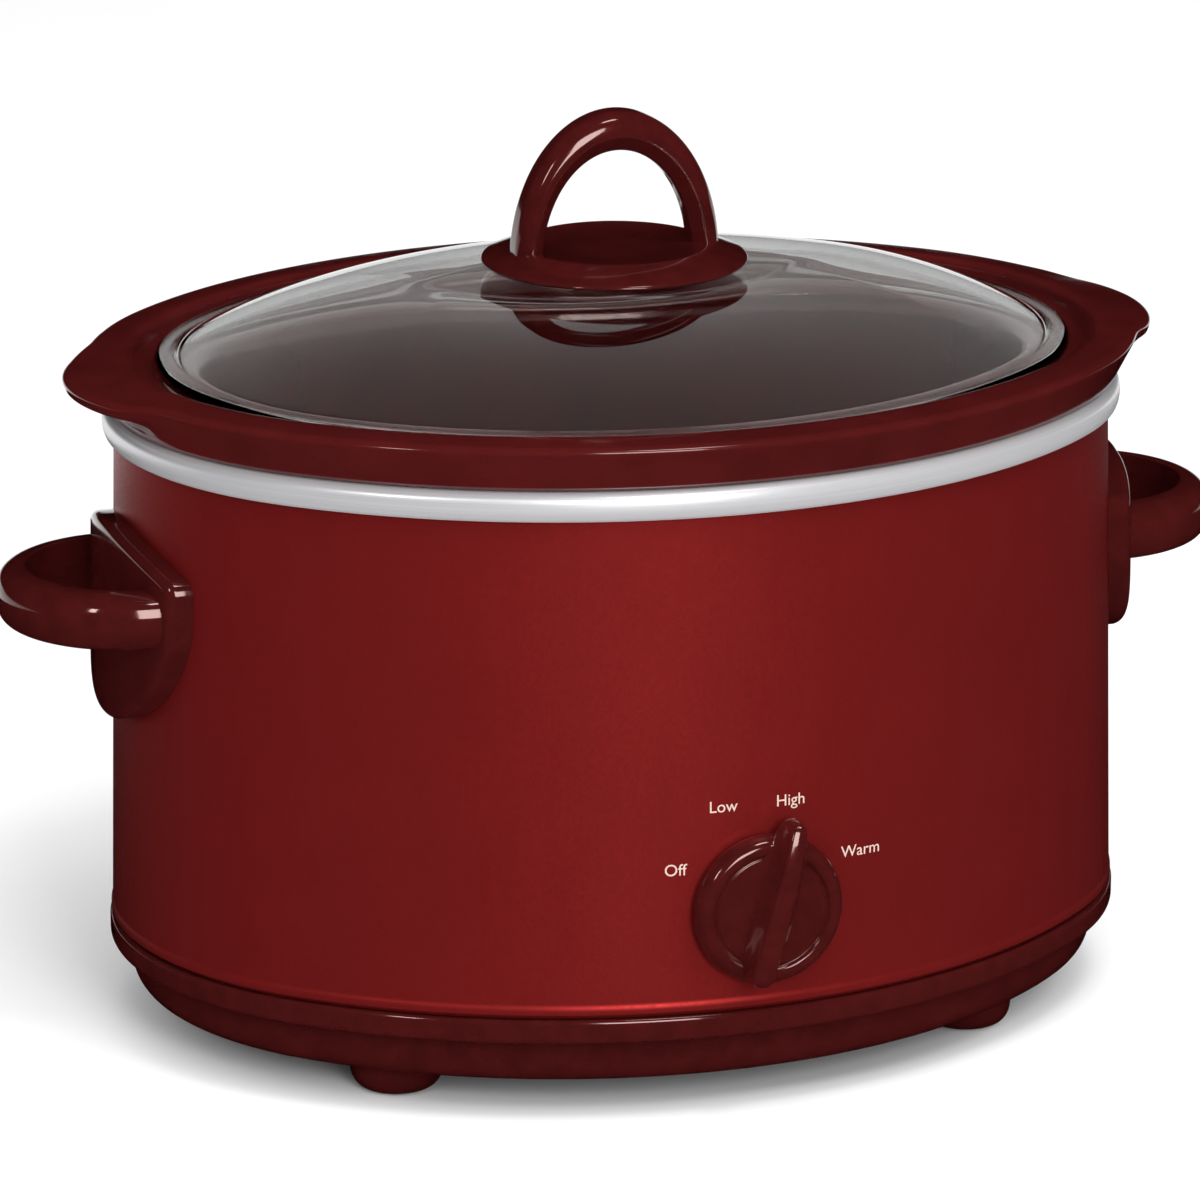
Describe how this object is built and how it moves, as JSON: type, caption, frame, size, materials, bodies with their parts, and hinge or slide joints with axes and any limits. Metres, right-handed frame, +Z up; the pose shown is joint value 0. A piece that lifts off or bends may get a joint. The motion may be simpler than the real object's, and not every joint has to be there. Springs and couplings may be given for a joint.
{
  "type": "slow cooker",
  "caption": "Oval slow cooker with a lift-out stoneware crock, domed glass lid with an arched handle, side loop handles and a front control knob.",
  "frame": {"origin": "on the table, under the middle of the whole object's bounding box; the body oval's own axis is 4.45 mm behind it, because the knob stands further out in front than the crock's rim does behind", "axes": "+Z up, +X to the right seen from the front, -Y towards the user on the knob's side"},
  "size_m": [0.37, 0.259, 0.266],
  "materials": {
    "body_paint": "metallic red enamel, glossy",
    "red_plastic": "glossy dark red moulding",
    "liner_steel": "bright aluminised sheet, satin on the rolled rim",
    "zinc_steel": "zinc-plated",
    "stoneware": "opaque dark red glaze over stoneware",
    "lid_clear": "clear tempered glass",
    "black_rubber": "matte",
    "silicone": "matte",
    "mica_band": "mica paper and foil",
    "fibre_wool": "needled glass-fibre mat",
    "switch_plastic": "moulded phenolic",
    "white_ceramic": "glazed ceramic",
    "wire_black": "insulation",
    "wire_white": "insulation",
    "wire_red": "insulation",
    "wire_blue": "insulation",
    "turned_brass": "turned",
    "plate_aluminium": "blank foil plate"
  },
  "bodies": {
    "base": {"outer_shell": "body_paint", "heating_well": "liner_steel", "base_pan": "red_plastic", "foot_front_left": "red_plastic", "foot_front_right": "red_plastic", "foot_back_left": "red_plastic", "foot_back_right": "red_plastic", "handle_left": "red_plastic", "handle_right": "red_plastic", "handle_screws": "zinc_steel", "handle_backing_plates": "zinc_steel", "shell_brackets": "zinc_steel", "base_screws": "zinc_steel", "heater_band": "mica_band", "heater_strap": "zinc_steel", "strap_springs": "zinc_steel", "insulation_wrap": "fibre_wool", "heat_shield": "zinc_steel", "stud_spacers": "zinc_steel", "centre_stud": "zinc_steel", "centre_washer": "zinc_steel", "centre_nut": "zinc_steel", "switch_body": "switch_plastic", "switch_bracket": "zinc_steel", "switch_nut": "turned_brass", "thermal_cutoff": "white_ceramic", "cutoff_clip": "zinc_steel", "terminal_block": "white_ceramic", "wire_live": "wire_black", "wire_neutral": "wire_white", "wire_element": "wire_white", "wire_low": "wire_red", "wire_high": "wire_blue", "cord_bushing": "black_rubber", "bushing_nut": "black_rubber", "rating_plate": "plate_aluminium"},
    "crock": {"crock": "stoneware"},
    "lid": {"lid_glass": "lid_clear", "lid_handle": "red_plastic", "lid_gasket": "silicone", "lid_washer": "zinc_steel", "lid_screw": "zinc_steel"},
    "control": {"control_knob": "red_plastic", "knob_clip": "zinc_steel", "switch_shaft": "turned_brass"}
  },
  "joints": [
    {"name": "crock_lift", "type": "slide", "parent": "base", "child": "crock", "axis": [0, 0, 1], "range_m": [0, 0.18]},
    {"name": "lid_lift", "type": "slide", "parent": "crock", "child": "lid", "axis": [0, 0, 1], "range_m": [0, 0.12]},
    {"name": "knob_turn", "type": "hinge", "parent": "base", "child": "control", "pos_m": [0.0048, -0.11514, 0.062], "axis": [0, -1, 0], "range_deg": [-51, 79]}
  ]
}
